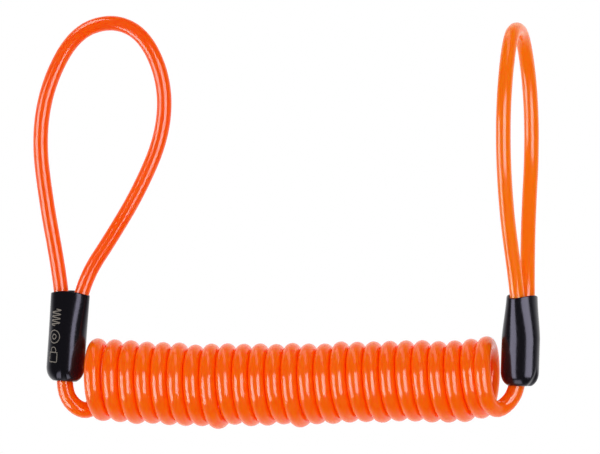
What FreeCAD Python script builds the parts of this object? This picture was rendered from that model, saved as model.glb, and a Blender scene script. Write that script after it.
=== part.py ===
"""Coiled reminder cable for a disc lock.

One orange PVC-coated wire rope is wound into a close coil. At each end of the coil a short lead
turns up into a black vinyl sleeve. Inside the sleeve the rope goes through an aluminium ferrule,
up round a loop, and back down into the ferrule's second bore.

Drawing frame, in millimetres: X runs along the coil from its middle, Z is up from the line that
joins the two ends of the coil's axis, and Y is away from the viewer. Every solid is moved at the
end, so that the row's origin is the eye of the left loop, where the cable hangs.
"""

import FreeCAD, Part
import os
from math import asin, degrees, pi, tan

V = FreeCAD.Vector
Rotation = FreeCAD.Rotation
SIDEWAYS = V(0, 1, 0)

# Cable
CABLE_D = 5.1  # jacket of the coil and the leads
LOOP_CABLE_D = 4.6  # jacket of the loops
ROPE_D = 3.0
ROPE_ROOM = 0.1  # radial room between the rope and its jacket, and in the ferrule's bores

# Coil
TURNS = 25
PITCH = 5.2
COIL_MEAN_D = 20.7
COIL_SAG = 2.1  # the middle of the coil hangs this much below its ends

# End fittings
SLEEVE_LENGTH = 28.0
SLEEVE_D = 11.9
SLEEVE_WALL = 0.6
SLEEVE_FLOOR = 1.0
SLEEVE_CORNER_R = 3.6
MOUTH_WIDTH = 12.3
MOUTH_DEPTH = 8.4
MOUTH_WALL = 0.4
OVAL_START = 16.6  # the sleeve is round below this height and oval above it
FERRULE_D = 10.4
FERRULE_BOTTOM = 6.0
FERRULE_TOP = 16.0
FERRULE_EDGE = 0.5
CRIMPS = 3
CRIMP_DEPTH = 0.4
CRIMP_WIDTH = 1.8
BORE_OFFSET = 1.8  # each bore's distance from the fitting's middle
LOOP_JACKET_START = 21.6
ROPE_SPLIT = 7.8  # the lead's rope meets the loop's rope here, in the ferrule's first bore
ROPE_BEND = 5.7  # below here the lead's rope leans towards the fitting's middle
LEAD_MIDDLE = 2.9  # and here it reaches it
LEAD_JACKET_START = 1.6
ROPE_TAIL = 0.4  # the rope's cut end stands out of the ferrule by this much
HOLE_ROOM = 0.1

# Where the fittings stand: the middle of the sleeve's floor, its lean to the right, and the turn
# of its wide side about its own axis
LEFT_FITTING = FreeCAD.Placement(V(-72.6, 0, -0.2), Rotation(SIDEWAYS, 4.1))
RIGHT_FITTING = FreeCAD.Placement(
    V(72.4, 0, -1.4), Rotation(SIDEWAYS, 1.9).multiply(Rotation(V(0, 0, 1), 70.5))
)

# Loops between the two bores of their ferrule, each up one leg, over the top and down the other
LEFT_LOOP = [
    V(-73.6, 0, 25.3),
    V(-74.6, 0, 36.5),
    V(-78.1, 0, 54.5),
    V(-80.9, 0, 75.0),
    V(-77.6, 0, 92.5),
    V(-69.0, 0, 108.0),
    V(-57.0, 0, 112.3),
    V(-46.5, 0, 107.5),
    V(-40.2, 0, 92.5),
    V(-41.3, 0, 76.0),
    V(-49.3, 0, 58.5),
    V(-58.2, 0, 43.3),
    V(-64.2, 0, 34.2),
    V(-68.0, 0, 25.2),
]
RIGHT_LOOP = [
    V(72.3, -2.7, 24.6),
    V(72.0, -5.6, 34.8),
    V(71.3, -12.5, 52.0),
    V(71.6, -20.2, 71.5),
    V(71.6, -18.6, 90.0),
    V(71.6, -10.2, 106.5),
    V(71.7, 0.0, 109.8),
    V(71.6, 10.2, 106.5),
    V(71.6, 18.6, 90.0),
    V(71.7, 20.2, 71.5),
    V(72.4, 12.5, 52.0),
    V(73.5, 5.6, 34.8),
    V(74.2, 2.7, 24.6),
]

# The upper bend of each lead, below the sleeve's floor, and the length of the run from the lower
# bend to the coil's end face, which it meets square
LEFT_LEAD_BEND = V(-73.0, 0, -6.3)
RIGHT_LEAD_BEND = V(72.3, 0, -6.6)
LEAD_RUN = 4.4

# The inner side of the left loop's top, which becomes the row's origin
LEFT_EYE = V(-57.5, 0, 109.0)

COIL_D = COIL_MEAN_D + CABLE_D
COIL_LENGTH = TURNS * PITCH
COIL_BEND_R = (COIL_LENGTH / 2) ** 2 / (2 * COIL_SAG)
COIL_HALF_TURN = degrees(asin(COIL_LENGTH / 2 / COIL_BEND_R))
LAST_TURN = degrees(PITCH / COIL_BEND_R)
BEND_CENTRE = V(0, 0, COIL_BEND_R - COIL_SAG)


def circle(middle, normal, diameter):
    return Part.Wire(Part.Circle(middle, normal, diameter / 2).toShape())


def route_wire(points):
    """Straight runs joined by tangent arcs, each as large as its two runs allow. Also the radii."""
    edges, radii, start = [], [], points[0]
    for before, corner, after in zip(points, points[1:], points[2:]):
        run_in, run_out = corner - before, after - corner
        half_turn = run_in.getAngle(run_out) / 2
        reach = 0.45 * min(run_in.Length, run_out.Length)
        radius = reach / tan(half_turn)
        run_in.normalize()
        run_out.normalize()
        arc_start, arc_end = corner - run_in * reach, corner + run_out * reach
        inward = run_out - run_in
        inward.normalize()
        to_centre = (radius**2 + reach**2) ** 0.5
        arc_middle = corner + inward * (to_centre - radius)
        edges.append(Part.LineSegment(start, arc_start).toShape())
        edges.append(Part.Arc(arc_start, arc_middle, arc_end).toShape())
        radii.append(radius)
        start = arc_end
    edges.append(Part.LineSegment(start, points[-1]).toShape())
    return Part.Wire(edges), radii


def sweep(points, diameter):
    wire, _ = route_wire(points)
    profile = circle(points[0], points[1] - points[0], diameter)
    return wire.makePipeShell([profile], True, False)


def jacket(covered, diameter):
    """A plastic tube round the rope that runs along the same points."""
    return sweep(covered, diameter).cut(sweep(covered, ROPE_D + 2 * ROPE_ROOM))


def rope(covered, *bare_stretches):
    """The rope inside a jacket and the stretches that go on from it, bare, into the ferrule."""
    whole = sweep(covered, ROPE_D)
    for stretch in bare_stretches:
        whole = whole.fuse(sweep(stretch, ROPE_D))
    return whole.removeSplitter()


def bore_point(fitting, side, height):
    """A point on a ferrule bore's axis: side is -1 for the lead's bore and 1 for the tail's."""
    return fitting.multVec(V(side * BORE_OFFSET, 0, height))


def at_height(fitting, start, end, height):
    """The point between two others that is at this height of the fitting."""
    low, high = (fitting.inverse().multVec(point).z for point in (start, end))
    return start + (end - start) * ((height - low) / (high - low))


def loop_stretches(fitting, loop):
    """The loop's jacketed route, and its two bare ends in the ferrule."""
    up, down = bore_point(fitting, -1, FERRULE_TOP), bore_point(fitting, 1, FERRULE_TOP)
    start = at_height(fitting, up, loop[0], LOOP_JACKET_START)
    end = at_height(fitting, down, loop[-1], LOOP_JACKET_START)
    split = bore_point(fitting, -1, ROPE_SPLIT)
    tail = bore_point(fitting, 1, FERRULE_BOTTOM - ROPE_TAIL)
    return [start, *loop, end], [split, up, start], [end, down, tail]


def lead_stretches(fitting, bend, side):
    """The lead's jacketed route, and its bare end below the ferrule. It meets the coil's end face
    in line with the lowest strand."""
    split, rope_bend = (bore_point(fitting, -1, height) for height in (ROPE_SPLIT, ROPE_BEND))
    middle = fitting.multVec(V(0, 0, LEAD_MIDDLE))
    start = at_height(fitting, middle, bend, LEAD_JACKET_START)
    slope = Rotation(SIDEWAYS, -side * COIL_HALF_TURN)
    end = BEND_CENTRE + slope.multVec(V(0, 0, -COIL_BEND_R - COIL_MEAN_D / 2))
    lower_bend = end + slope.multVec(V(side * LEAD_RUN, 0, 0))
    return [start, bend, lower_bend, end], [split, rope_bend, middle, start]


def coil_stretch(start, length):
    """A length of the coil as one bar of its outer diameter, in degrees along its sagging axis."""
    face = Part.Face(circle(V(0, 0, -COIL_SAG), V(1, 0, 0), COIL_D))
    face.rotate(BEND_CENTRE, SIDEWAYS, COIL_HALF_TURN - start)
    return face.revolve(BEND_CENTRE, -SIDEWAYS, length)


def oval(width, depth, height):
    outline = Part.Ellipse(V(0, 0, height), width / 2, depth / 2)
    return Part.Wire(outline.toShape())


def sleeve_form(diameter, width, depth, bottom, corner):
    """A round bar with a rounded lower edge that opens out to an oval mouth."""
    foot = Part.makeCylinder(diameter / 2, OVAL_START - bottom, V(0, 0, bottom))
    lower_edge = min(foot.Edges, key=lambda edge: edge.CenterOfMass.z)
    foot = foot.makeFillet(corner, [lower_edge])
    sections = [circle(V(0, 0, OVAL_START), V(0, 0, 1), diameter), oval(width, depth, SLEEVE_LENGTH)]
    return foot.fuse(Part.makeLoft(sections, True, True))


def sleeve(fitting):
    """Dipped vinyl: open at the oval mouth, with a hole for the lead in its rounded floor."""
    inner_d = SLEEVE_D - 2 * SLEEVE_WALL
    outer = sleeve_form(SLEEVE_D, MOUTH_WIDTH, MOUTH_DEPTH, 0, SLEEVE_CORNER_R)
    mouth = MOUTH_WIDTH - 2 * MOUTH_WALL, MOUTH_DEPTH - 2 * MOUTH_WALL
    inner = sleeve_form(inner_d, *mouth, SLEEVE_FLOOR, SLEEVE_CORNER_R - SLEEVE_WALL)
    hole = Part.makeCylinder(CABLE_D / 2 + HOLE_ROOM, 2 * SLEEVE_FLOOR, V(0, 0, -SLEEVE_FLOOR / 2))
    return placed(outer.cut(inner).cut(hole), fitting)


def ferrule(fitting):
    """A pressed aluminium bar with two bores and the press's shallow rings round it."""
    length = FERRULE_TOP - FERRULE_BOTTOM
    bar = Part.makeCylinder(FERRULE_D / 2, length, V(0, 0, FERRULE_BOTTOM))
    rims = [edge for edge in bar.Edges if edge.Closed]
    bar = bar.makeChamfer(FERRULE_EDGE, rims)
    ring_r = ((CRIMP_WIDTH / 2) ** 2 + CRIMP_DEPTH**2) / (2 * CRIMP_DEPTH)
    for number in range(CRIMPS):
        height = FERRULE_BOTTOM + length * (number + 0.5) / CRIMPS
        ring = Part.makeTorus(FERRULE_D / 2 - CRIMP_DEPTH + ring_r, ring_r, V(0, 0, height))
        bar = bar.cut(ring)
    for side in (-1, 1):
        foot = V(side * BORE_OFFSET, 0, FERRULE_BOTTOM)
        bar = bar.cut(Part.makeCylinder(ROPE_D / 2 + ROPE_ROOM, length, foot))
    return placed(bar, fitting)


def placed(shape, fitting):
    shape.Placement = fitting.multiply(shape.Placement)
    return shape


def end_nodes(name, fitting, loop, lead_bend, side):
    """The six solids of one end, from the loop down to the coil."""
    loop_route, *loop_ends = loop_stretches(fitting, loop)
    lead_route, lead_end = lead_stretches(fitting, lead_bend, side)
    report_route(f"{name} loop", loop_route)
    report_route(f"{name} lead", lead_route)
    return {
        f"{name}_sleeve": sleeve(fitting),
        f"{name}_ferrule": ferrule(fitting),
        f"{name}_loop_jacket": jacket(loop_route, LOOP_CABLE_D),
        f"{name}_loop_rope": rope(loop_route, *loop_ends),
        f"{name}_lead_jacket": jacket(lead_route, CABLE_D),
        f"{name}_lead_rope": rope(lead_route, lead_end),
    }


def coil_nodes():
    whole = 2 * COIL_HALF_TURN
    return {
        "coil": coil_stretch(0, whole - LAST_TURN),
        "coil_last_turn": coil_stretch(whole - LAST_TURN, LAST_TURN),
    }


def report_route(name, points):
    """Prints a route's length and radii, and how near its swept volume is to section times length."""
    wire, radii = route_wire(points)
    share = sweep(points, ROPE_D).Volume / (pi * (ROPE_D / 2) ** 2 * wire.Length)
    sizes = ", ".join(f"{radius:.1f}" for radius in radii)
    print(f"{name}: {wire.Length:.1f} mm long, volume {share:.4f} of section x length, radii {sizes}")


def main():
    os.makedirs("parts", exist_ok=True)
    nodes = {
        **end_nodes("left", LEFT_FITTING, LEFT_LOOP, LEFT_LEAD_BEND, -1),
        **coil_nodes(),
        **end_nodes("right", RIGHT_FITTING, RIGHT_LOOP, RIGHT_LEAD_BEND, 1),
    }
    for name, shape in nodes.items():
        shape.translate(-LEFT_EYE)
        solids, box = shape.Solids, shape.BoundBox
        print(
            f"{name}: {len(solids)} solid, valid {shape.isValid()}, {shape.Volume:.0f} mm3, "
            f"X {box.XMin:.1f} to {box.XMax:.1f}, Y {box.YMin:.1f} to {box.YMax:.1f}, "
            f"Z {box.ZMin:.1f} to {box.ZMax:.1f}"
        )
        shape.exportStep(f"parts/{name}.step")


main()
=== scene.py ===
"""Coiled reminder cable for a disc lock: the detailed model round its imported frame.

One orange cable is wound into a close coil. At each end a lead turns up into a black vinyl sleeve,
and a loop comes out of the sleeve's mouth.

Everything is in metres. Places are given in the cable's drawing frame: X along the coil from its
middle, Z up from the line that joins the two ends of the coil's axis, and Y away from the viewer.
EYE, the inner side of the left loop's top, is the row frame's origin.
"""

import logging
import math
from dataclasses import dataclass
from enum import Enum

import bmesh
import bpy
from mathutils import Matrix, Quaternion, Vector


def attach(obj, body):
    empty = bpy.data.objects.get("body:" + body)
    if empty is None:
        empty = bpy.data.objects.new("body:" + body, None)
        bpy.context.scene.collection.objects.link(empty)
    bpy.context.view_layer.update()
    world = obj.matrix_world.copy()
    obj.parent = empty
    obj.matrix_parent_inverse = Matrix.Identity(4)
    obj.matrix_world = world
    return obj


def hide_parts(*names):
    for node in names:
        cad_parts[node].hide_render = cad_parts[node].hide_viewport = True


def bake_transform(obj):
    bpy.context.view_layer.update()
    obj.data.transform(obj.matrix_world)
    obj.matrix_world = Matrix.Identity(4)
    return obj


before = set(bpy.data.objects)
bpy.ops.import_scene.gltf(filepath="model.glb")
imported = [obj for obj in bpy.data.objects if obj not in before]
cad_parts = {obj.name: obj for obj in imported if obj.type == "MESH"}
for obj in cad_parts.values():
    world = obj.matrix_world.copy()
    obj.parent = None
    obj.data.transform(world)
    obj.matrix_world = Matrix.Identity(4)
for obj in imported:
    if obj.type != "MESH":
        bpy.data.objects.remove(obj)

LOG = logging.getLogger("reminder_cable")

MM = 0.001
EYE = Vector((-0.0575, 0, 0.109))
UP = Vector((0, 0, 1))
VIEW_MIDDLE = (0.0025, 0, 0.0477)  # what the camera looks at

CABLE_D = 0.0051
LOOP_CABLE_D = 0.0046

WAVE_SCALE = 2 * math.pi / 20  # a wave texture of this scale repeats once a metre

# The loops' routes, up one leg, over the top and down the other
LEFT_LOOP = [
    (-0.0735, 0, 0.0215),
    (-0.0736, 0, 0.0253),
    (-0.0751, 0, 0.0365),
    (-0.0785, 0, 0.0545),
    (-0.0811, 0, 0.0750),
    (-0.0780, 0, 0.0925),
    (-0.0693, 0, 0.1080),
    (-0.0572, 0, 0.1121),
    (-0.0468, 0, 0.1072),
    (-0.0404, 0, 0.0925),
    (-0.0412, 0, 0.0760),
    (-0.0490, 0, 0.0585),
    (-0.0584, 0, 0.0433),
    (-0.0646, 0, 0.0342),
    (-0.0680, 0, 0.0252),
    (-0.0687, 0, 0.0212),
]
RIGHT_LOOP = [
    (0.0723, -0.0023, 0.0202),
    (0.0723, -0.0027, 0.0246),
    (0.0718, -0.0058, 0.0348),
    (0.0710, -0.0130, 0.0520),
    (0.0715, -0.0206, 0.0715),
    (0.0715, -0.0190, 0.0900),
    (0.0715, -0.0104, 0.1065),
    (0.0715, -0.0004, 0.1098),
    (0.0715, 0.0098, 0.1065),
    (0.0717, 0.0190, 0.0900),
    (0.0718, 0.0206, 0.0715),
    (0.0724, 0.0125, 0.0520),
    (0.0735, 0.0056, 0.0348),
    (0.0742, 0.0027, 0.0246),
    (0.0739, 0.0023, 0.0202),
]

# The leads, from inside the sleeve to the coil's first turn, and from its last turn to the sleeve
LEFT_LEAD = [
    (-0.0728, 0, 0.0030),
    (-0.0731, 0, -0.0032),
    (-0.0701, -0.0002, -0.0082),
    (-0.0660, 0.0012, -0.0101),
]
RIGHT_LEAD = [
    (0.0660, -0.0032, -0.0091),
    (0.0696, -0.0006, -0.0058),
    (0.0714, 0, -0.0015),
    (0.0719, 0, 0.0030),
]


class End(Enum):
    """The two ends of the coil."""

    LEFT = "left"
    RIGHT = "right"

    @property
    def body(self) -> str:
        """The CAD body of this end's fitting and loop."""
        return f"{self.value}_end"


def in_row(place: tuple[float, float, float]) -> Vector:
    """A place of the drawing frame, in the row frame."""
    return Vector(place) - EYE


def srgb(hex_code: str) -> tuple[float, float, float, float]:
    """Turns an sRGB hex colour to linear.

    Args:
        hex_code: six hex digits.

    Returns:
        The linear red, green, blue and an alpha of 1.
    """
    channels = (int(hex_code[i : i + 2], 16) / 255 for i in (0, 2, 4))
    linear = [c / 12.92 if c <= 0.04045 else ((c + 0.055) / 1.055) ** 2.4 for c in channels]
    return (*linear, 1.0)


def smooth(value: float) -> float:
    """The smooth step of a value, from 0 at 0 to 1 at 1."""
    value = min(max(value, 0.0), 1.0)
    return value * value * (3 - 2 * value)


# ---------------------------------------------------------------------------------------------
# Finishes
# ---------------------------------------------------------------------------------------------


def add_node(tree: bpy.types.NodeTree, kind: str, settings: dict, links: dict) -> bpy.types.Node:
    """Adds a shader node with its settings and links.

    Args:
        tree: the material's or world's node tree.
        kind: the node's type name.
        settings: node properties by name, or input values by input name.
        links: the output socket that feeds each named input.

    Returns:
        The new node.
    """
    node = tree.nodes.new(kind)
    for name, value in settings.items():
        if name in node.inputs:
            node.inputs[name].default_value = value
        else:
            setattr(node, name, value)
    for name, source in links.items():
        tree.links.new(source, node.inputs[name])
    return node


def start_material(name: str) -> tuple[bpy.types.Material, bpy.types.NodeTree, bpy.types.Node]:
    """An empty node material.

    Args:
        name: the material's name.

    Returns:
        The material, its node tree and its output node.
    """
    material = bpy.data.materials.new(name)
    material.use_nodes = True
    tree = material.node_tree
    tree.nodes.clear()
    return material, tree, tree.nodes.new("ShaderNodeOutputMaterial")


@dataclass(frozen=True)
class OrangePvc:
    """Soft PVC extruded over wire rope: glossy and a little see-through, so that light goes in and
    comes out redder, with the faint orange-peel ripple of the die and of the strands beneath."""

    name: str
    colour: str
    deep_colour: str
    dye_mm: float = 9.0  # the dye is a little uneven over this length
    roughness: float = 0.15
    ior: float = 1.53  # plasticised PVC
    depth_mm: float = 2.4  # red light travels this far inside, which lights the gaps between turns
    depth_by_colour: tuple[float, float, float] = (1.0, 0.18, 0.05)
    # Painted light: the jacket glows in this colour though it is no lamp
    painted_glow_colour: str = "FF3600"
    painted_glow_strength: float = 0.125  # painted light: the jacket glows a little, which lifts the shade between the turns
    ripple_mm: float = 2.6
    ripple_height_mm: float = 0.12
    ripple_strength: float = 0.03
    lay_mm: float = 11.0  # one strand of the rope comes round to the top again after this length
    lay_height_mm: float = 0.2
    lay_strength: float = 0.02
    scuff_mm: float = 6.0
    scuff_range: tuple[float, float] = (0.85, 1.35)  # handling varies the roughness by these

    def material(self) -> bpy.types.Material:
        """Builds the material, which reads the cable's own UV map in metres."""
        material, tree, output = start_material(self.name)
        uv = add_node(tree, "ShaderNodeUVMap", {"uv_map": "cable"}, {})
        place = add_node(tree, "ShaderNodeTexCoord", {}, {})
        dye = add_node(
            tree,
            "ShaderNodeTexNoise",
            {"Scale": 1 / (self.dye_mm * MM), "Detail": 3.0, "Roughness": 0.55},
            {"Vector": place.outputs["Object"]},
        )
        colour = add_node(
            tree,
            "ShaderNodeMix",
            {"data_type": "RGBA"},
            {"Factor": dye.outputs["Fac"]},
        )
        colour.inputs[6].default_value = srgb(self.colour)
        colour.inputs[7].default_value = srgb(self.deep_colour)
        ripple = add_node(
            tree,
            "ShaderNodeTexNoise",
            {"Scale": 1 / (self.ripple_mm * MM), "Detail": 2.0, "Roughness": 0.4},
            {"Vector": place.outputs["Object"]},
        )
        lay = add_node(
            tree,
            "ShaderNodeTexWave",
            {"Scale": WAVE_SCALE / (self.lay_mm * MM), "Distortion": 0.6, "Detail": 1.0},
            {"Vector": uv.outputs["UV"]},
        )
        lay.bands_direction = "DIAGONAL"
        strand_bump = add_node(
            tree,
            "ShaderNodeBump",
            {"Strength": self.lay_strength, "Distance": self.lay_height_mm * MM},
            {"Height": lay.outputs["Fac"]},
        )
        peel_bump = add_node(
            tree,
            "ShaderNodeBump",
            {"Strength": self.ripple_strength, "Distance": self.ripple_height_mm * MM},
            {"Height": ripple.outputs["Fac"], "Normal": strand_bump.outputs["Normal"]},
        )
        scuff = add_node(
            tree,
            "ShaderNodeTexNoise",
            {"Scale": 1 / (self.scuff_mm * MM), "Detail": 6.0, "Roughness": 0.6},
            {"Vector": place.outputs["Object"]},
        )
        least, most = self.scuff_range
        roughness = add_node(
            tree,
            "ShaderNodeMapRange",
            {"From Min": 0.35, "From Max": 0.75, "To Min": self.roughness * least,
             "To Max": self.roughness * most},
            {"Value": scuff.outputs["Fac"]},
        )
        # Painted light: the emission gives the jacket a faint orange-red glow, which brightens the
        # shaded gaps between the turns
        shader = add_node(
            tree,
            "ShaderNodeBsdfPrincipled",
            {"IOR": self.ior, "Subsurface Weight": 1.0, "Subsurface Scale": self.depth_mm * MM,
             "Subsurface Radius": self.depth_by_colour,
             "Emission Color": srgb(self.painted_glow_colour), "Emission Strength": self.painted_glow_strength},
            {"Base Color": colour.outputs[2], "Roughness": roughness.outputs["Result"],
             "Normal": peel_bump.outputs["Normal"]},
        )
        tree.links.new(shader.outputs["BSDF"], output.inputs["Surface"])
        return material


@dataclass(frozen=True)
class DippedVinyl:
    """Black vinyl dipped on a mandrel and shrunk on: near black, glossy, with the slow ripples of a
    skin that was wet, so that long highlights waver a little."""

    name: str = "dipped black vinyl"
    colour: str = "151418"
    shine_colour: str = "C4C0DA"  # its shine is a little violet, and weaker than bare plastic's
    roughness: float = 0.14
    ior: float = 1.53  # plasticised PVC
    sag_mm: float = 4.5
    sag_height_mm: float = 0.25
    sag_strength: float = 0.25
    dust_mm: float = 0.7
    dust_rise: float = 2.0  # the dustiest spots are rougher by this

    def material(self) -> bpy.types.Material:
        """Builds the material on Object coordinates."""
        material, tree, output = start_material(self.name)
        place = add_node(tree, "ShaderNodeTexCoord", {}, {})
        sag = add_node(
            tree,
            "ShaderNodeTexNoise",
            {"Scale": 1 / (self.sag_mm * MM), "Detail": 1.0, "Roughness": 0.3},
            {"Vector": place.outputs["Object"]},
        )
        dust = add_node(
            tree,
            "ShaderNodeTexNoise",
            {"Scale": 1 / (self.dust_mm * MM), "Detail": 4.0, "Roughness": 0.65},
            {"Vector": place.outputs["Object"]},
        )
        roughness = add_node(
            tree,
            "ShaderNodeMapRange",
            {"From Min": 0.3, "From Max": 0.8, "To Min": self.roughness,
             "To Max": self.roughness * self.dust_rise},
            {"Value": dust.outputs["Fac"]},
        )
        bump = add_node(
            tree,
            "ShaderNodeBump",
            {"Strength": self.sag_strength, "Distance": self.sag_height_mm * MM},
            {"Height": sag.outputs["Fac"]},
        )
        shader = add_node(
            tree,
            "ShaderNodeBsdfPrincipled",
            {"Base Color": srgb(self.colour), "IOR": self.ior,
             "Specular Tint": srgb(self.shine_colour)},
            {"Roughness": roughness.outputs["Result"], "Normal": bump.outputs["Normal"]},
        )
        tree.links.new(shader.outputs["BSDF"], output.inputs["Surface"])
        return material


@dataclass(frozen=True)
class Metal:
    """A bare or printed metal: its colour, its sheen, and the grain that the making left on it."""

    name: str
    colour: str
    roughness: float
    grain_mm: float
    grain_height_mm: float
    metallic: float = 1.0  # below 1 the metal is a powder in varnish
    grain_strength: float = 0.5
    grain_range: tuple[float, float] = (0.7, 1.3)  # the grain varies the roughness by these

    def material(self) -> bpy.types.Material:
        """Builds the material on Object coordinates."""
        material, tree, output = start_material(self.name)
        place = add_node(tree, "ShaderNodeTexCoord", {}, {})
        grain = add_node(
            tree,
            "ShaderNodeTexNoise",
            {"Scale": 1 / (self.grain_mm * MM), "Detail": 5.0, "Roughness": 0.6},
            {"Vector": place.outputs["Object"]},
        )
        least, most = self.grain_range
        roughness = add_node(
            tree,
            "ShaderNodeMapRange",
            {"To Min": self.roughness * least, "To Max": self.roughness * most},
            {"Value": grain.outputs["Fac"]},
        )
        bump = add_node(
            tree,
            "ShaderNodeBump",
            {"Strength": self.grain_strength, "Distance": self.grain_height_mm * MM},
            {"Height": grain.outputs["Fac"]},
        )
        shader = add_node(
            tree,
            "ShaderNodeBsdfPrincipled",
            {"Base Color": srgb(self.colour), "Metallic": self.metallic},
            {"Roughness": roughness.outputs["Result"], "Normal": bump.outputs["Normal"]},
        )
        tree.links.new(shader.outputs["BSDF"], output.inputs["Surface"])
        return material


# Glossy orange, redder between the turns, where light comes out from inside the PVC and where a
# painted glow lifts the shade. The coil and the two loops are three copies of one PVC in slightly
# different oranges, which paint light and shade: the left loop redder and darker as in shade, the
# right loop paler and yellower as in more light.
COIL_PVC = OrangePvc("orange PVC of the coil", "FC7604", "F86A02")
LEFT_LOOP_PVC_PAINTED_SHADE = OrangePvc("orange PVC of the left loop", "FA6606", "F45C04", ripple_mm=3.4)
RIGHT_LOOP_PVC_PAINTED_LIGHT = OrangePvc("orange PVC of the right loop", "FD8608", "FA7C04", ripple_mm=3.4)
# Deep black with long, sharp highlights that waver a little
VINYL = DippedVinyl()
# Satin where the ferrules were pressed, dull where zinc covers the strands, and only half metallic
# where the ink is mixed with varnish
PRESSED_ALUMINIUM = Metal("pressed aluminium", "C9CBCE", 0.38, 0.6, 0.05)
GALVANISED_STRANDS = Metal("galvanised strands", "9C9FA3", 0.45, 0.4, 0.2)
SILVER_INK = Metal("silver printing ink", "B4ACA2", 0.5, 0.5, 0.02, metallic=0.5)


# ---------------------------------------------------------------------------------------------
# Shared making
# ---------------------------------------------------------------------------------------------


def finish_mesh(bm: bmesh.types.BMesh, name: str, material: bpy.types.Material) -> bpy.types.Object:
    """Makes a smooth-shaded object at the origin from a bmesh, and frees it.

    Args:
        bm: the finished shape, in the row frame.
        name: the piece's name.
        material: its finish.

    Returns:
        The new object, linked to the scene.
    """
    mesh = bpy.data.meshes.new(name)
    bm.to_mesh(mesh)
    bm.free()
    mesh.materials.append(material)
    mesh.polygons.foreach_set("use_smooth", [True] * len(mesh.polygons))
    piece = bpy.data.objects.new(name, mesh)
    bpy.context.scene.collection.objects.link(piece)
    return piece


def spline_line(name: str, controls: list[Vector], steps: int) -> list[Vector]:
    """Reads the smooth line of a cord: a NURBS spline with these control points.

    Args:
        name: a name for the spline.
        controls: its control points, in the row frame.
        steps: how many points to read for each control point.

    Returns:
        Points along the spline, from its first end to its last.
    """
    curve = bpy.data.curves.new(name, "CURVE")
    curve.dimensions = "3D"
    curve.resolution_u = steps
    spline = curve.splines.new("NURBS")
    spline.points.add(len(controls) - 1)
    for point, control in zip(spline.points, controls):
        point.co = (*control, 1.0)
    spline.order_u = 3
    spline.use_endpoint_u = True
    holder = bpy.data.objects.new(name, curve)
    mesh = bpy.data.meshes.new_from_object(holder)
    line = [vertex.co.copy() for vertex in mesh.vertices]
    bpy.data.objects.remove(holder)
    bpy.data.curves.remove(curve)
    bpy.data.meshes.remove(mesh)
    return line


def lengths_along(line: list[Vector]) -> list[float]:
    """The distance along a line of each of its points, in metres."""
    total, distances = 0.0, [0.0]
    for before, after in zip(line, line[1:]):
        total += (after - before).length
        distances.append(total)
    return distances


def ring_frames(line: list[Vector]) -> list[Matrix]:
    """Frames along a line whose Z runs along it and whose X turns as little as it can.

    Args:
        line: the points of the line.

    Returns:
        One matrix for each point.
    """
    ends = [line[0], *line, line[-1]]
    frames, side = [], UP.cross(line[1] - line[0])
    if side.length < MM * MM:
        side = Vector((1, 0, 0))
    for index, point in enumerate(line):
        along = (ends[index + 2] - ends[index]).normalized()
        side = (side - along * side.dot(along)).normalized()
        turn = Matrix((side, along.cross(side), along)).transposed()
        frames.append(Matrix.Translation(point) @ turn.to_4x4())
    return frames


@dataclass
class Tube:
    """A cable as a skin round its smooth line: a flat grid with one column for each point of the
    line, rolled up and closed. Its UV map is in metres, along the cable and round it."""

    name: str
    line: list[Vector]
    diameter: float
    start_length: float = 0.0
    sides: int = 24

    def build(self, material: bpy.types.Material) -> bpy.types.Object:
        """Makes the tube.

        Args:
            material: its finish.

        Returns:
            The new piece.
        """
        last = len(self.line) - 1
        frames, distances = ring_frames(self.line), lengths_along(self.line)
        bm = bmesh.new()
        uv = bm.loops.layers.uv.new("cable")
        columns = bm.verts.layers.int.new("column")
        bmesh.ops.create_grid(bm, x_segments=last, y_segments=self.sides, size=0.5, calc_uvs=True)
        for face in bm.faces:
            for loop in face.loops:
                column = round(loop[uv].uv.x * last)
                round_it = loop[uv].uv.y * math.pi * self.diameter
                loop[uv].uv = (self.start_length + distances[column], round_it)
        for vert in bm.verts:
            column = vert[columns] = round((vert.co.x + 0.5) * last)
            angle = 2 * math.pi * (vert.co.y + 0.5)
            reach = Vector((math.cos(angle), math.sin(angle), 0)) * self.diameter / 2
            vert.co = frames[column] @ reach
        bmesh.ops.remove_doubles(bm, verts=bm.verts[:], dist=MM * MM)
        self.close_ends(bm)
        bmesh.ops.recalc_face_normals(bm, faces=bm.faces[:])
        return finish_mesh(bm, self.name, material)

    def close_ends(self, bm: bmesh.types.BMesh) -> None:
        """Closes both ends of the skin with a flat cut face and a sharp rim.

        Args:
            bm: the rolled and merged skin.
        """
        rims = [edge for edge in bm.edges if edge.is_boundary]
        bmesh.ops.holes_fill(bm, edges=rims, sides=0)
        for edge in rims:
            edge.smooth = False


def follow_joint(piece: bpy.types.Object, shares: list[float]) -> None:
    """Bakes the cable's transform into its mesh.

    Args:
        piece: the cable's tube.
        shares: not used.
    """
    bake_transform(piece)


# ---------------------------------------------------------------------------------------------
# Cables
# ---------------------------------------------------------------------------------------------


@dataclass(frozen=True)
class Place:
    """A stretch of the coil that strays from the rest: its middle and its reach, in turns."""

    middle: float
    reach: float

    def share(self, turn: float) -> float:
        """How much a turn belongs to the stretch: 1 at its middle, and close to 0 away from it."""
        return math.exp(-(((turn - self.middle) / self.reach) ** 2))


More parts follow.
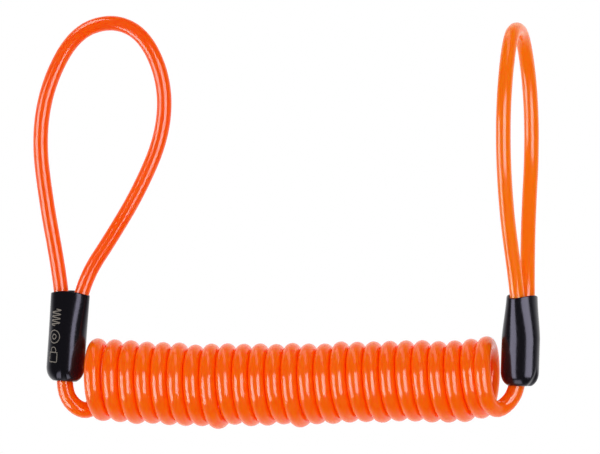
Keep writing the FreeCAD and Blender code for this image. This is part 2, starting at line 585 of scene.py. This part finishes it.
@dataclass
class MiddleCable:
    """The main length of cable: one spline through the left lead, the coil and the right lead.

    It is skinned in three pieces, because the leads bend at the coil's ends and the coil stretches.
    The seams are at the back of the first turn and of the last."""

    turns: int = 25
    pitch: float = 0.0052
    first_crown: float = -0.0624
    mean_radius: float = 0.01035
    sag: float = 0.0014  # the axis's middle is this far below its ends
    half_length: float = 0.065
    points_per_turn: int = 16
    steps: int = 4
    start_turn: float = -0.375  # turns before the first crown where the helix begins
    end_turn: float = 24.36  # turns after the first crown where it ends
    first_seam: float = 0.75  # the seams, in turns after the first crown
    last_seam: float = 23.75
    lead_stiff: float = 0.0045  # the sleeve holds the left lead's first stretch
    lead_bend: float = 0.0125  # each lead bends over this length
    tail_bend_start: float = 0.0165  # the right lead's bend starts this far before its end
    first_front: Place = Place(0.25, 0.3)
    left_half: Place = Place(5.5, 2.4)
    middle: Place = Place(13.5, 6.0)
    right_half: Place = Place(18.0, 4.6)
    low_turns: tuple[Place, Place] = (Place(7.5, 0.3), Place(12.5, 0.3))
    last_turn: Place = Place(23.8, 0.8)
    last_front: Place = Place(24.25, 0.22)

    @property
    def bend_radius(self) -> float:
        """The radius of the coil's sagging axis."""
        return self.half_length**2 / (2 * self.sag)

    def unevenness(self, turn: float) -> tuple[float, float, float]:
        """How much one place of the coil strays from a perfect helix on a perfect arc.

        Its right half is a little tighter and hangs less, its left half hangs more, two of its
        turns hang low, its last turn opens towards the lead, and no two turns are quite alike.
        The amounts below are in millimetres.

        Args:
            turn: turns after the first crown.

        Returns:
            The shift along the coil, the shift upwards and the growth of the radius, in metres.
        """
        right_half, last_turn = self.right_half.share(turn), self.last_turn.share(turn)
        middle, last_front = self.middle.share(turn), self.last_front.share(turn)
        low_one, low_two = (place.share(turn) for place in self.low_turns)
        lift = 0.95 * right_half + 1.10 * last_turn - 0.45 * self.left_half.share(turn)
        lift += 0.14 * math.sin(1.7 * turn + 0.4) + 0.10 * math.sin(3.9 * turn)
        lift += 0.08 * middle
        lift -= 0.9 * low_one + 0.7 * low_two
        growth = 0.08 * math.sin(2.6 * turn + 1.1) - 0.18 * right_half
        growth -= 0.16 * middle
        growth += 1.6 * last_front - 0.30 * last_turn
        shift = -0.45 * self.first_front.share(turn) - 0.55 * last_front
        return shift * MM, lift * MM, growth * MM

    def helix_point(self, turn: float) -> Vector:
        """A control point of the coil.

        Args:
            turn: turns after the first crown.

        Returns:
            The point, in the row frame.
        """
        shift, lift, growth = self.unevenness(turn)
        x = self.first_crown + self.pitch * turn + shift
        slope = x / self.bend_radius
        outward = Vector((-slope, 0, 1)).normalized()
        angle = 2 * math.pi * turn
        half_step = math.pi / self.points_per_turn
        radius = (self.mean_radius + growth) / math.cos(half_step)
        axis = Vector((x, 0, x * slope / 2 - self.sag + lift))
        reach = outward * math.cos(angle) - Vector((0, 1, 0)) * math.sin(angle)
        return in_row(axis + reach * radius)

    def controls(self) -> list[Vector]:
        """Every control point, from the left sleeve through the coil to the right sleeve."""
        count = round((self.end_turn - self.start_turn) * self.points_per_turn)
        step = (self.end_turn - self.start_turn) / count
        coil = [self.helix_point(self.start_turn + step * index) for index in range(count + 1)]
        return [in_row(p) for p in LEFT_LEAD] + coil + [in_row(p) for p in RIGHT_LEAD]

    def seam_index(self, line: list[Vector], turn: float) -> int:
        """Finds a seam on the line.

        Args:
            line: the points of the whole cable's line.
            turn: where the seam is, in turns after the first crown.

        Returns:
            The index of the nearest point.
        """
        seam = self.helix_point(turn)
        return min(range(len(line)), key=lambda index: (line[index] - seam).length)

    def build(self) -> list[bpy.types.Object]:
        """Makes the three pieces.

        Returns:
            The left lead, the coil and the right lead.
        """
        line = spline_line("middle_cable_line", self.controls(), self.steps)
        first = self.seam_index(line, self.first_seam)
        last = self.seam_index(line, self.last_seam)
        material = COIL_PVC.material()
        parts = [
            ("left_lead_cable", line[: first + 1], ("left_end", "coil_body")),
            ("coil_cable", line[first : last + 1], ("coil_body", "coil_tail")),
            ("right_lead_cable", line[last:], ("coil_tail", "right_end")),
        ]
        shares = [self.lead_shares, self.coil_shares, self.tail_shares]
        nodes = [
            ("left_lead_jacket", "left_lead_rope"),
            ("coil", "coil_last_turn"),
            ("right_lead_jacket", "right_lead_rope"),
        ]
        pieces, done = [], 0.0
        for (name, stretch, bodies), share, replaced in zip(parts, shares, nodes):
            length = lengths_along(stretch)[-1]
            piece = Tube(name, stretch, CABLE_D, done).build(material)
            done += length
            follow_joint(piece, share(stretch))
            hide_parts(*replaced)
            pieces.append(piece)
            LOG.info("%s: %.1f mm of cable", name, length / MM)
        return pieces

    def lead_shares(self, line: list[Vector]) -> list[float]:
        """How far the left lead follows the coil.

        Args:
            line: the points of the left lead's line.

        Returns:
            One share for each point, from 0 in the sleeve to 1 at the first turn.
        """
        return [smooth((d - self.lead_stiff) / self.lead_bend) for d in lengths_along(line)]

    def coil_shares(self, line: list[Vector]) -> list[float]:
        """How far the coil follows its last turn: evenly, with an easy start and end.

        Args:
            line: the points of the coil's line.

        Returns:
            One share for each point, from 0 to 1.
        """
        distances = lengths_along(line)
        ease = 1 / self.turns
        shares = []
        for d in distances:
            t = d / distances[-1]
            low, high = min(t, ease), max(t - (1 - ease), 0)
            eased = t - low + low * low / (2 * ease) - high * high / (2 * ease)
            shares.append(eased / (1 - ease))
        return shares

    def tail_shares(self, line: list[Vector]) -> list[float]:
        """How far the right lead follows the right end.

        Args:
            line: the points of the right lead's line.

        Returns:
            One share for each point, from 0 at the last turn to 1 in the sleeve.
        """
        distances = lengths_along(line)
        bend_start = distances[-1] - self.tail_bend_start
        return [smooth((d - bend_start) / self.lead_bend) for d in distances]


@dataclass
class LoopCable:
    """The jacketed cable of one loop."""

    end: End
    route: list[tuple[float, float, float]]
    finish: OrangePvc
    steps: int = 14

    def build(self) -> bpy.types.Object:
        """Returns:
            The new piece.
        """
        controls = [in_row(place) for place in self.route]
        line = spline_line(f"{self.end.value}_loop_line", controls, self.steps)
        length = lengths_along(line)[-1]
        tube = Tube(f"{self.end.value}_loop_cable", line, LOOP_CABLE_D)
        piece = tube.build(self.finish.material())
        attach(piece, self.end.body)
        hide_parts(f"{self.end.value}_loop_jacket")
        LOG.info("%s: %.1f mm of cable", piece.name, length / MM)
        return piece


# ---------------------------------------------------------------------------------------------
# Sleeves
# ---------------------------------------------------------------------------------------------


@dataclass
class Sleeve:
    """A black vinyl sleeve over one ferrule: round and pinched in below, oval at its mouth."""

    end: End
    foot: tuple[float, float, float]
    lean: float
    turn: float
    length: float = 0.028
    radius: float = 0.00595
    wall: float = 0.0006
    floor: float = 0.001
    corner_width: float = 0.0036  # the foot's outer curve is a quarter of an ellipse
    corner_height: float = 0.0046
    hole: float = 0.00265  # the radius of the cable's hole in the floor
    mouth_half_width: float = 0.00615
    mouth_half_depth: float = 0.0042
    oval_start: float = 0.0150
    rim_wave: float = 0.0005  # the rim dips over each leg of the loop and rises between them
    wave_start: float = 0.0168
    pinch: float = 0.0013  # the depth of the dents at the foot, front and back
    pinch_height: float = 0.0058
    pinch_angle: float = 0.62  # half of a dent's width at the foot, in radians
    spokes: int = 96
    rings: int = 22  # up the straight wall
    corner_rings: int = 12  # in a quarter of the foot's outer curve
    first_corner_ring: int = 3  # the curve starts here, at the edge of the cable's hole
    rim_rings: int = 8
    inner_corner_rings: int = 10
    hole_edge: float = 0.00045  # the hole's edge is this high

    def frame(self) -> Matrix:
        """Where the sleeve stands, from its own axes to the row frame."""
        lean = Matrix.Rotation(math.radians(self.lean), 4, "Y")
        turn = Matrix.Rotation(math.radians(self.turn), 4, "Z")
        return Matrix.Translation(in_row(self.foot)) @ lean @ turn

    def outline(self) -> list[Vector]:
        """The wall's section: up the outside, over the rounded rim and down the inside."""
        points = []
        for index in range(self.first_corner_ring, self.corner_rings + 1):
            angle = math.radians(90 * index / self.corner_rings - 90)
            points.append((self.radius - self.corner_width * (1 - math.cos(angle)),
                           self.corner_height * (1 + math.sin(angle))))
        foot, rise = self.corner_height, self.length - self.corner_height - self.wall / 2
        levels = [foot + rise * index / self.rings for index in range(self.rings + 1)]
        points += [(self.radius, level) for level in levels[1:]]
        for index in range(1, self.rim_rings):
            angle = math.radians(180 * index / self.rim_rings)
            points.append((self.radius - self.wall / 2 + self.wall / 2 * math.cos(angle),
                           self.length - self.wall / 2 + self.wall / 2 * math.sin(angle)))
        inner = self.radius - self.wall
        points += [(inner, level) for level in reversed(levels)]
        inner_corner = self.corner_width - self.wall
        for index in range(1, self.inner_corner_rings):
            angle = math.radians(-90 * index / self.inner_corner_rings)
            points.append((inner - inner_corner * (1 - math.cos(angle)),
                           foot + (foot - self.floor) * math.sin(angle)))
        points.append((self.hole, self.floor))
        points.append((self.hole, self.hole_edge))
        return [Vector((radius, 0, height)) for radius, height in points]

    def shaped(self, place: Vector) -> Vector:
        """Moves a point of the plain round sleeve to where the real one's skin is.

        Args:
            place: a point of the round sleeve, in its own axes.

        Returns:
            The point on the oval, pinched and wavy sleeve.
        """
        x, y, z = place
        angle = math.atan2(y, x)
        above = (z - self.oval_start) / (self.length - self.oval_start)
        oval = smooth(above) * 0.5 + 0.5 * max(above, 0)
        wide = 1 + (self.mouth_half_width / self.radius - 1) * oval
        deep = 1 + (self.mouth_half_depth / self.radius - 1) * oval
        near_rim = smooth((z - self.wave_start) / (self.length - self.wave_start))
        lift = -self.rim_wave * math.cos(2 * angle) * near_rim
        low = max(1 - z / self.pinch_height, MM)
        dent = low * smooth(1 - abs(abs(angle) - math.pi / 2) / (self.pinch_angle * low))
        squeeze = 1 - self.pinch * dent / self.radius
        return Vector((x * wide * squeeze, y * deep * squeeze, z + lift))

    def build(self, material: bpy.types.Material) -> bpy.types.Object:
        """Makes the sleeve by spinning its section, and shapes it.

        Args:
            material: its finish.

        Returns:
            The new piece.
        """
        bm = bmesh.new()
        section = [bm.verts.new(point) for point in self.outline()]
        edges = [bm.edges.new(pair) for pair in zip(section, section[1:] + section[:1])]
        bmesh.ops.spin(bm, geom=section + edges, cent=(0, 0, 0), axis=(0, 0, 1),
                       angle=2 * math.pi, steps=self.spokes, use_merge=True)
        bmesh.ops.remove_doubles(bm, verts=bm.verts[:], dist=MM * MM)
        for vert in bm.verts:
            vert.co = self.shaped(vert.co)
        bmesh.ops.recalc_face_normals(bm, faces=bm.faces[:])
        if bm.calc_volume(signed=True) < 0:
            bmesh.ops.reverse_faces(bm, faces=bm.faces[:])
        bmesh.ops.transform(bm, matrix=self.frame(), verts=bm.verts[:])
        piece = finish_mesh(bm, f"{self.end.value}_vinyl_sleeve", material)
        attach(piece, self.end.body)
        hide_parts(f"{self.end.value}_sleeve")
        LOG.info("%s: %d faces", piece.name, len(piece.data.polygons))
        return piece

    def on_skin(self, angle: float, height: float, sink: float) -> Vector:
        """A place on the outside of the wall, in the row frame.

        Args:
            angle: round the sleeve's axis, in radians.
            height: above the floor.
            sink: how far below the surface.

        Returns:
            The place.
        """
        reach = self.radius - sink
        plain = Vector((reach * math.cos(angle), reach * math.sin(angle), height))
        return self.frame() @ self.shaped(plain)


@dataclass
class PrintedMark:
    """A silver print on the left sleeve: three plain outline signs, a padlock, a brake disc and a
    coil, one above the other. They read along the sleeve, so across is up the sleeve."""

    sleeve: Sleeve
    middle_angle: float = -2.10
    low: float = 0.0062
    line_d: float = 0.00042
    sunk_share: float = 0.36  # of the line's diameter, so that little of it stands out
    longest_step_mm: float = 0.3

    def strokes(self) -> list[list[tuple[float, float]]]:
        """The strokes of the three signs, in millimetres up the sleeve and round it."""
        padlock = [(0.0, -1.5), (3.0, -1.5), (3.0, 1.5), (0.0, 1.5), (0.0, -1.5)]
        shackle = [(3.0, -0.95)]
        for step in range(9):
            angle = math.pi * step / 8
            shackle.append((3.7 + 0.95 * math.sin(angle), -0.95 * math.cos(angle)))
        shackle.append((3.0, 0.95))
        disc = [self.circle(7.9, 2.0), self.circle(7.9, 0.75)]
        wave = [1.7 * math.sin(2 * math.pi * step / 12) for step in range(49)]
        coil = [(11.3 + 5.0 * step / 48, across) for step, across in enumerate(wave)]
        return [padlock, shackle, *disc, coil]

    def circle(self, middle: float, radius: float) -> list[tuple[float, float]]:
        """One round stroke about the sleeve's middle line of signs."""
        angles = [2 * math.pi * step / 28 for step in range(29)]
        return [(middle + radius * math.cos(a), radius * math.sin(a)) for a in angles]

    def build(self) -> bpy.types.Object:
        """Makes the mark as fine raised lines of ink, and returns it as one piece."""
        material = SILVER_INK.material()
        joined = bmesh.new()
        for stroke in self.strokes():
            line = [self.place(up, across) for up, across in self.dense(stroke)]
            tube = Tube("ink", line, self.line_d, sides=8).build(material)
            joined.from_mesh(tube.data)
            mesh = tube.data
            bpy.data.objects.remove(tube)
            bpy.data.meshes.remove(mesh)
        piece = finish_mesh(joined, "left_printed_mark", material)
        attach(piece, self.sleeve.end.body)
        LOG.info("%s: %d strokes", piece.name, len(self.strokes()))
        return piece

    def dense(self, stroke: list[tuple[float, float]]) -> list[tuple[float, float]]:
        """Adds points to long straight strokes, so that they follow the round wall."""
        points = [stroke[0]]
        for before, after in zip(stroke, stroke[1:]):
            pieces = max(1, math.ceil(math.dist(before, after) / self.longest_step_mm))
            for step in range(1, pieces + 1):
                share = step / pieces
                points.append((before[0] + (after[0] - before[0]) * share,
                               before[1] + (after[1] - before[1]) * share))
        return points

    def place(self, up: float, across: float) -> Vector:
        """Where a point of the mark lies on the sleeve, in the row frame."""
        angle = self.middle_angle - across * MM / self.sleeve.radius
        return self.sleeve.on_skin(angle, self.low + up * MM, self.line_d * self.sunk_share)


def dress_frame_nodes() -> None:
    """Gives the CAD's ferrules and ropes, which stay inside the sleeves, their metals."""
    metals = {"ferrule": PRESSED_ALUMINIUM.material(), "loop_rope": GALVANISED_STRANDS.material()}
    for end in End:
        for part, material in metals.items():
            node = bpy.data.objects[f"{end.value}_{part}"]
            if not node.material_slots:
                node.data.materials.append(material)
            for slot in node.material_slots:
                slot.material = material
            LOG.info("%s: %s", node.name, material.name)


# ---------------------------------------------------------------------------------------------
# Studio
# ---------------------------------------------------------------------------------------------


@dataclass
class Studio:
    """A white room with a table, lamps that each give gloss to some of the pieces, and the camera.

    The room looks plain white to the camera. In the gloss it is white behind the cable and dark
    behind the camera, where only the lamps show.
    """

    middle: Vector
    azimuth: float = 13.0  # the camera's place, in degrees round from the front and above the level
    elevation: float = 1.2
    roll: float = 0.12
    lens: float = 1000.0
    distance: float = 5.175
    near_limit: float = 0.1
    floor_drop: float = 1.75  # the table is below the cable even when it hangs pulled out
    table_radius: float = 12.0
    table_glow: float = 0.75
    lamp_distance: float = 0.62
    fill_light: float = 0.82
    front_gloss: float = 0.01
    back_gloss: float = 0.95
    gloss_tilt: float = 10.0  # the middle of the dark side, in degrees above the level
    gloss_range: tuple[float, float] = (-0.05, 0.78)  # cosines from the far side: dark, then white

    def camera(self) -> None:
        """Adds the camera at the viewing angle, far off with a long lens."""
        camera = bpy.data.objects.new("camera", bpy.data.cameras.new("camera"))
        camera.data.lens = self.lens
        camera.data.clip_start = self.near_limit
        bpy.context.scene.collection.objects.link(camera)
        back = self.direction(self.azimuth, self.elevation)
        aim = (-back).to_track_quat("-Z", "Y")
        camera.rotation_mode = "QUATERNION"
        camera.rotation_quaternion = aim @ Quaternion((0, 0, 1), math.radians(-self.roll))
        camera.location = self.middle + back * self.distance
        bpy.context.scene.camera = camera

    def direction(self, azimuth: float, elevation: float) -> Vector:
        """The way from the object to a place round it.

        Args:
            azimuth: degrees round from the front, to the right.
            elevation: degrees above the level.

        Returns:
            A unit vector.
        """
        a, e = math.radians(azimuth), math.radians(elevation)
        return Vector((math.sin(a) * math.cos(e), -math.cos(a) * math.cos(e), math.sin(e)))

    def lamp(self, name: str, azimuth: float, elevation: float, size: tuple[float, float],
             radiance: float, onto: list[str]) -> None:
        """Adds a soft rectangular lamp that faces the object and only gives it gloss.

        Args:
            name: its name.
            azimuth: degrees round from the camera, to the right.
            elevation: degrees above the level.
            size: its width and height.
            radiance: how bright its face looks.
            onto: the names of the pieces that it gives gloss to.
        """
        place = self.direction(self.azimuth + azimuth, elevation) * self.lamp_distance
        light = bpy.data.lights.new(name, "AREA")
        light.shape = "RECTANGLE"
        light.size, light.size_y = size
        light.energy = radiance * math.pi * size[0] * size[1]
        lamp = bpy.data.objects.new(name, light)
        lamp.location = self.middle + place
        lamp.rotation_mode = "QUATERNION"
        lamp.rotation_quaternion = (-place).to_track_quat("-Z", "Y")
        lamp.visible_camera = lamp.visible_diffuse = False
        lit = bpy.data.collections.new(f"lit by {name}")
        for piece in onto:
            lit.objects.link(bpy.data.objects[piece])
        lamp.light_linking.receiver_collection = lit
        bpy.context.scene.collection.objects.link(lamp)

    def table(self) -> None:
        """Adds the white table, which is bright enough to look plain white."""
        material, tree, output = start_material("white table")
        shader = add_node(
            tree,
            "ShaderNodeBsdfPrincipled",
            {"Base Color": srgb("F4F4F4"), "Roughness": 0.8, "Emission Color": srgb("FFFFFF"),
             "Emission Strength": self.table_glow},
            {},
        )
        tree.links.new(shader.outputs["BSDF"], output.inputs["Surface"])
        bm = bmesh.new()
        bmesh.ops.create_circle(bm, cap_ends=True, segments=64, radius=self.table_radius)
        drop = self.middle - UP * (self.floor_drop + self.middle.z)
        bmesh.ops.translate(bm, verts=bm.verts[:], vec=drop)
        table = finish_mesh(bm, "table", material)
        table.visible_diffuse = table.visible_glossy = table.visible_shadow = False

    def surroundings(self) -> None:
        """Lights the room: plain white to look at, softer as a source of light, darker in front."""
        world = bpy.data.worlds.new("white room")
        bpy.context.scene.world = world
        world.use_nodes = True
        tree = world.node_tree
        tree.nodes.clear()
        path = add_node(tree, "ShaderNodeLightPath", {}, {})
        sky = add_node(tree, "ShaderNodeTexCoord", {}, {})
        behind = add_node(
            tree,
            "ShaderNodeVectorMath",
            {"operation": "DOT_PRODUCT"},
            {0: sky.outputs["Generated"]},
        )
        behind.inputs[1].default_value = -self.direction(self.azimuth, self.gloss_tilt)
        dark, white = self.gloss_range
        strength = add_node(
            tree,
            "ShaderNodeMapRange",
            {"interpolation_type": "SMOOTHSTEP", "From Min": dark, "From Max": white,
             "To Min": self.front_gloss, "To Max": self.back_gloss},
            {"Value": behind.outputs["Value"]},
        )
        seen = add_node(tree, "ShaderNodeBackground", {"Strength": 1.0}, {})
        felt = add_node(tree, "ShaderNodeBackground", {"Strength": self.fill_light}, {})
        gloss = add_node(tree, "ShaderNodeBackground", {}, {"Strength": strength.outputs["Result"]})
        for background in (seen, felt, gloss):
            background.inputs["Color"].default_value = srgb("FFFFFF")
        mirrored = add_node(tree, "ShaderNodeMixShader", {}, {"Fac": path.outputs["Is Glossy Ray"]})
        tree.links.new(felt.outputs["Background"], mirrored.inputs[1])
        tree.links.new(gloss.outputs["Background"], mirrored.inputs[2])
        mix = add_node(tree, "ShaderNodeMixShader", {}, {"Fac": path.outputs["Is Camera Ray"]})
        tree.links.new(mirrored.outputs["Shader"], mix.inputs[1])
        tree.links.new(seen.outputs["Background"], mix.inputs[2])
        output = tree.nodes.new("ShaderNodeOutputWorld")
        tree.links.new(mix.outputs["Shader"], output.inputs["Surface"])

    def build(self) -> None:
        """Sets up everything round the object but the camera, which comes before the cords."""
        bpy.context.scene.view_settings.view_transform = "Standard"
        self.surroundings()
        self.table()
        middle = ["left_lead_cable", "coil_cable", "right_lead_cable"]
        left_loop, right_loop = (f"{end.value}_loop_cable" for end in End)
        left_sleeve, right_sleeve = (f"{end.value}_vinyl_sleeve" for end in End)
        cables = [*middle, left_loop, right_loop]
        sleeves = [left_sleeve, right_sleeve]
        below_overhead = [*middle, right_loop, *sleeves]
        self.lamp("right lamp", 22, -1, (0.44, 0.66), 6.2, cables)
        self.lamp("left lamp", -69, -15, (0.42, 0.62), 6.2, cables)
        self.lamp("left sleeve lamp", 26, -1, (0.26, 0.60), 6.5, [left_sleeve])
        self.lamp("right sleeve right lamp", 57, -1, (0.46, 0.66), 6.5, [right_sleeve])
        self.lamp("right sleeve left lamp", -43, -15, (0.50, 0.62), 6.5, [right_sleeve])
        self.lamp("low lamp", -10, -70, (0.36, 0.36), 3.2, sleeves)
        self.lamp("overhead lamp", -60, 84, (0.9, 0.26), 1.2, below_overhead)
        self.lamp("upper left lamp", -75, 49, (0.34, 0.30), 5.0, [left_loop])


def main() -> None:
    """Builds the camera and the cords, then the sleeves, the mark and the studio."""
    logging.basicConfig(level=logging.INFO, format="%(name)s: %(message)s")
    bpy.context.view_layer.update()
    studio = Studio(middle=in_row(VIEW_MIDDLE))
    studio.camera()
    MiddleCable().build()
    LoopCable(End.LEFT, LEFT_LOOP, LEFT_LOOP_PVC_PAINTED_SHADE).build()
    LoopCable(End.RIGHT, RIGHT_LOOP, RIGHT_LOOP_PVC_PAINTED_LIGHT).build()
    vinyl = VINYL.material()
    left_sleeve = Sleeve(End.LEFT, foot=(-0.0729, 0, -0.0008), lean=4.1, turn=0.0)
    right_sleeve = Sleeve(End.RIGHT, foot=(0.0721, 0, -0.0016), lean=1.9, turn=70.5)
    left_sleeve.build(vinyl)
    right_sleeve.build(vinyl)
    PrintedMark(left_sleeve).build()
    dress_frame_nodes()
    studio.build()


if __name__ == "__main__":
    main()
